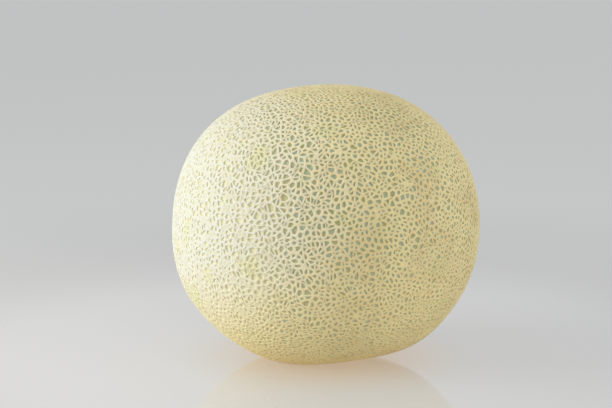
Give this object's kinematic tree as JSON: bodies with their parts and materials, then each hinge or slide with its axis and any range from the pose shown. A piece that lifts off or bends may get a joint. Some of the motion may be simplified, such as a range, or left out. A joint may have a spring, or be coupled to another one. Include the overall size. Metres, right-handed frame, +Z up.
{
  "type": "cantaloupe melon",
  "caption": "Whole netted cantaloupe melon: a slightly flattened round fruit with a raised corky net, resting on a small flat spot.",
  "frame": {"origin": "middle of the bottom of the bounding box, on the surface that the melon stands on", "axes": "+Z up through the fruit's shorter, roughly stem-to-flower direction; +X to the fruit's right and +Y to its back, seen from the side that shows neither scar"},
  "size_m": [0.1502, 0.1478, 0.1344],
  "materials": {
    "netted_rind": "dull straw-coloured corky net over a grey-green skin"
  },
  "bodies": {
    "root": {"melon": "netted_rind"}
  },
  "joints": []
}
